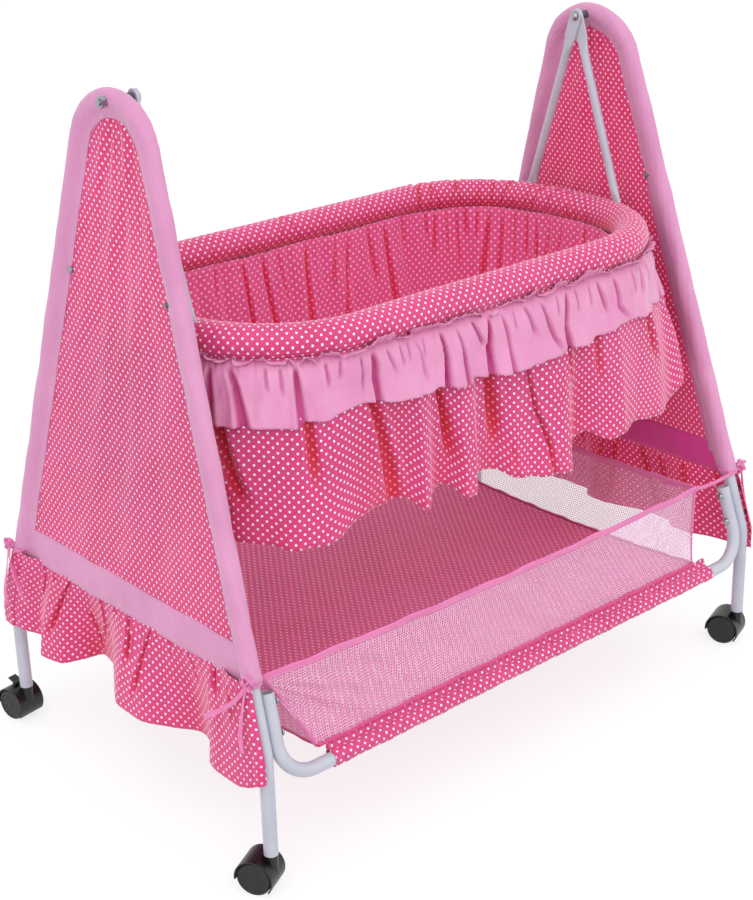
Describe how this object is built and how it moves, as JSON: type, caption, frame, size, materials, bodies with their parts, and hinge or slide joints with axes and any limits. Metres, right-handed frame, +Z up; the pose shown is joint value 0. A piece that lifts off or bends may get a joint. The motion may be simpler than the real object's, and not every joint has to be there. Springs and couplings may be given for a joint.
{
  "type": "swinging baby cradle",
  "caption": "Swinging baby cradle: a padded fabric bed hung between tubular end frames on castors, with a net storage basket below.",
  "frame": {"origin": "on the floor under the middle of the whole cradle", "axes": "+X along the cradle towards its right-hand end as seen from the front, +Y to the back, +Z up"},
  "size_m": [1.0203, 0.6566, 0.9747],
  "materials": {
    "white_paint": "gloss powder coat",
    "chrome": "polished",
    "zinc": "zinc plated",
    "black_plastic": "moulded",
    "polka_cloth": "woven, deep pink with small white dots",
    "pink_cloth": "woven, plain light pink",
    "pink_satin": "satin",
    "pink_tape": "woven tape",
    "zip_metal": "nickel plated",
    "white_net": "knitted net",
    "hardboard": "smooth"
  },
  "bodies": {
    "frame": {"front_left_leg": "white_paint", "front_right_leg": "white_paint", "rear_left_leg": "white_paint", "rear_right_leg": "white_paint", "left_bow": "white_paint", "right_bow": "white_paint", "front_rail": "white_paint", "rear_rail": "white_paint", "rail_bolts": "chrome", "bow_bolts": "chrome", "frame_nuts": "zinc", "pivot_bolts": "chrome", "pivot_nuts": "zinc", "pivot_bushes": "black_plastic", "left_bow_cover": "pink_cloth", "right_bow_cover": "pink_cloth", "left_end_panel": "polka_cloth", "right_end_panel": "polka_cloth", "left_end_band": "pink_cloth", "right_end_band": "pink_cloth", "left_end_frill": "polka_cloth", "right_end_frill": "polka_cloth", "cover_zips": "zip_metal", "base_sheet": "polka_cloth", "net_walls": "white_net", "net_binding": "pink_tape", "corner_ties": "pink_tape", "castor_sockets": "black_plastic"},
    "cradle": {"left_rim_tube": "white_paint", "right_rim_tube": "white_paint", "rim_joining_sleeves": "white_paint", "front_left_hanger": "white_paint", "front_right_hanger": "white_paint", "rear_left_hanger": "white_paint", "rear_right_hanger": "white_paint", "hanger_bolts": "chrome", "rim_cover": "polka_cloth", "bed_bag": "polka_cloth", "bed_board": "hardboard", "mattress": "polka_cloth", "skirt": "polka_cloth", "rim_frill": "pink_satin"},
    "front_left_castor": {"front_left_castor_hood": "black_plastic", "front_left_castor_pins": "zinc"},
    "front_left_left_wheel": {"front_left_left_wheel": "black_plastic"},
    "front_left_right_wheel": {"front_left_right_wheel": "black_plastic"},
    "front_right_castor": {"front_right_castor_hood": "black_plastic", "front_right_castor_pins": "zinc"},
    "front_right_left_wheel": {"front_right_left_wheel": "black_plastic"},
    "front_right_right_wheel": {"front_right_right_wheel": "black_plastic"},
    "rear_left_castor": {"rear_left_castor_hood": "black_plastic", "rear_left_castor_pins": "zinc"},
    "rear_left_left_wheel": {"rear_left_left_wheel": "black_plastic"},
    "rear_left_right_wheel": {"rear_left_right_wheel": "black_plastic"},
    "rear_left_brake_lever": {"rear_left_brake_lever": "black_plastic"},
    "rear_right_castor": {"rear_right_castor_hood": "black_plastic", "rear_right_castor_pins": "zinc"},
    "rear_right_left_wheel": {"rear_right_left_wheel": "black_plastic"},
    "rear_right_right_wheel": {"rear_right_right_wheel": "black_plastic"},
    "rear_right_brake_lever": {"rear_right_brake_lever": "black_plastic"}
  },
  "joints": [
    {"name": "cradle_swing", "type": "hinge", "parent": "frame", "child": "cradle", "pos_m": [0, -0.01257, 0.96], "axis": [1, 0, 0], "range_deg": [-20, 20]},
    {"name": "front_left_swivel", "type": "hinge", "parent": "frame", "child": "front_left_castor", "pos_m": [-0.471, -0.30557, 0.054], "axis": [0, 0, 1], "continuous": true},
    {"name": "front_left_left_wheel_roll", "type": "hinge", "parent": "front_left_castor", "child": "front_left_left_wheel", "pos_m": [-0.47922, -0.29012, 0.0235], "axis": [0.8829, 0.4695, 0], "continuous": true},
    {"name": "front_left_right_wheel_roll", "type": "hinge", "parent": "front_left_castor", "child": "front_left_right_wheel", "pos_m": [-0.47922, -0.29012, 0.0235], "axis": [0.8829, 0.4695, 0], "continuous": true},
    {"name": "front_right_swivel", "type": "hinge", "parent": "frame", "child": "front_right_castor", "pos_m": [0.471, -0.30557, 0.054], "axis": [0, 0, 1], "continuous": true},
    {"name": "front_right_left_wheel_roll", "type": "hinge", "parent": "front_right_castor", "child": "front_right_left_wheel", "pos_m": [0.46502, -0.28913, 0.0235], "axis": [0.9397, 0.342, 0], "continuous": true},
    {"name": "front_right_right_wheel_roll", "type": "hinge", "parent": "front_right_castor", "child": "front_right_right_wheel", "pos_m": [0.46502, -0.28913, 0.0235], "axis": [0.9397, 0.342, 0], "continuous": true},
    {"name": "rear_left_swivel", "type": "hinge", "parent": "frame", "child": "rear_left_castor", "pos_m": [-0.471, 0.28043, 0.054], "axis": [0, 0, 1], "continuous": true},
    {"name": "rear_left_left_wheel_roll", "type": "hinge", "parent": "rear_left_castor", "child": "rear_left_left_wheel", "pos_m": [-0.47404, 0.29766, 0.0235], "axis": [0.9848, 0.1736, 0], "continuous": true},
    {"name": "rear_left_right_wheel_roll", "type": "hinge", "parent": "rear_left_castor", "child": "rear_left_right_wheel", "pos_m": [-0.47404, 0.29766, 0.0235], "axis": [0.9848, 0.1736, 0], "continuous": true},
    {"name": "rear_left_brake_lever_press", "type": "hinge", "parent": "rear_left_castor", "child": "rear_left_brake_lever", "pos_m": [-0.47404, 0.29766, 0.0532], "axis": [0.9848, 0.1736, 0], "range_deg": [-20, 0]},
    {"name": "rear_right_swivel", "type": "hinge", "parent": "frame", "child": "rear_right_castor", "pos_m": [0.471, 0.28043, 0.054], "axis": [0, 0, 1], "continuous": true},
    {"name": "rear_right_left_wheel_roll", "type": "hinge", "parent": "rear_right_castor", "child": "rear_right_left_wheel", "pos_m": [0.46677, 0.29741, 0.0235], "axis": [0.9703, 0.2419, 0], "continuous": true},
    {"name": "rear_right_right_wheel_roll", "type": "hinge", "parent": "rear_right_castor", "child": "rear_right_right_wheel", "pos_m": [0.46677, 0.29741, 0.0235], "axis": [0.9703, 0.2419, 0], "continuous": true},
    {"name": "rear_right_brake_lever_press", "type": "hinge", "parent": "rear_right_castor", "child": "rear_right_brake_lever", "pos_m": [0.46677, 0.29741, 0.0532], "axis": [0.9703, 0.2419, 0], "range_deg": [-20, 0]}
  ]
}
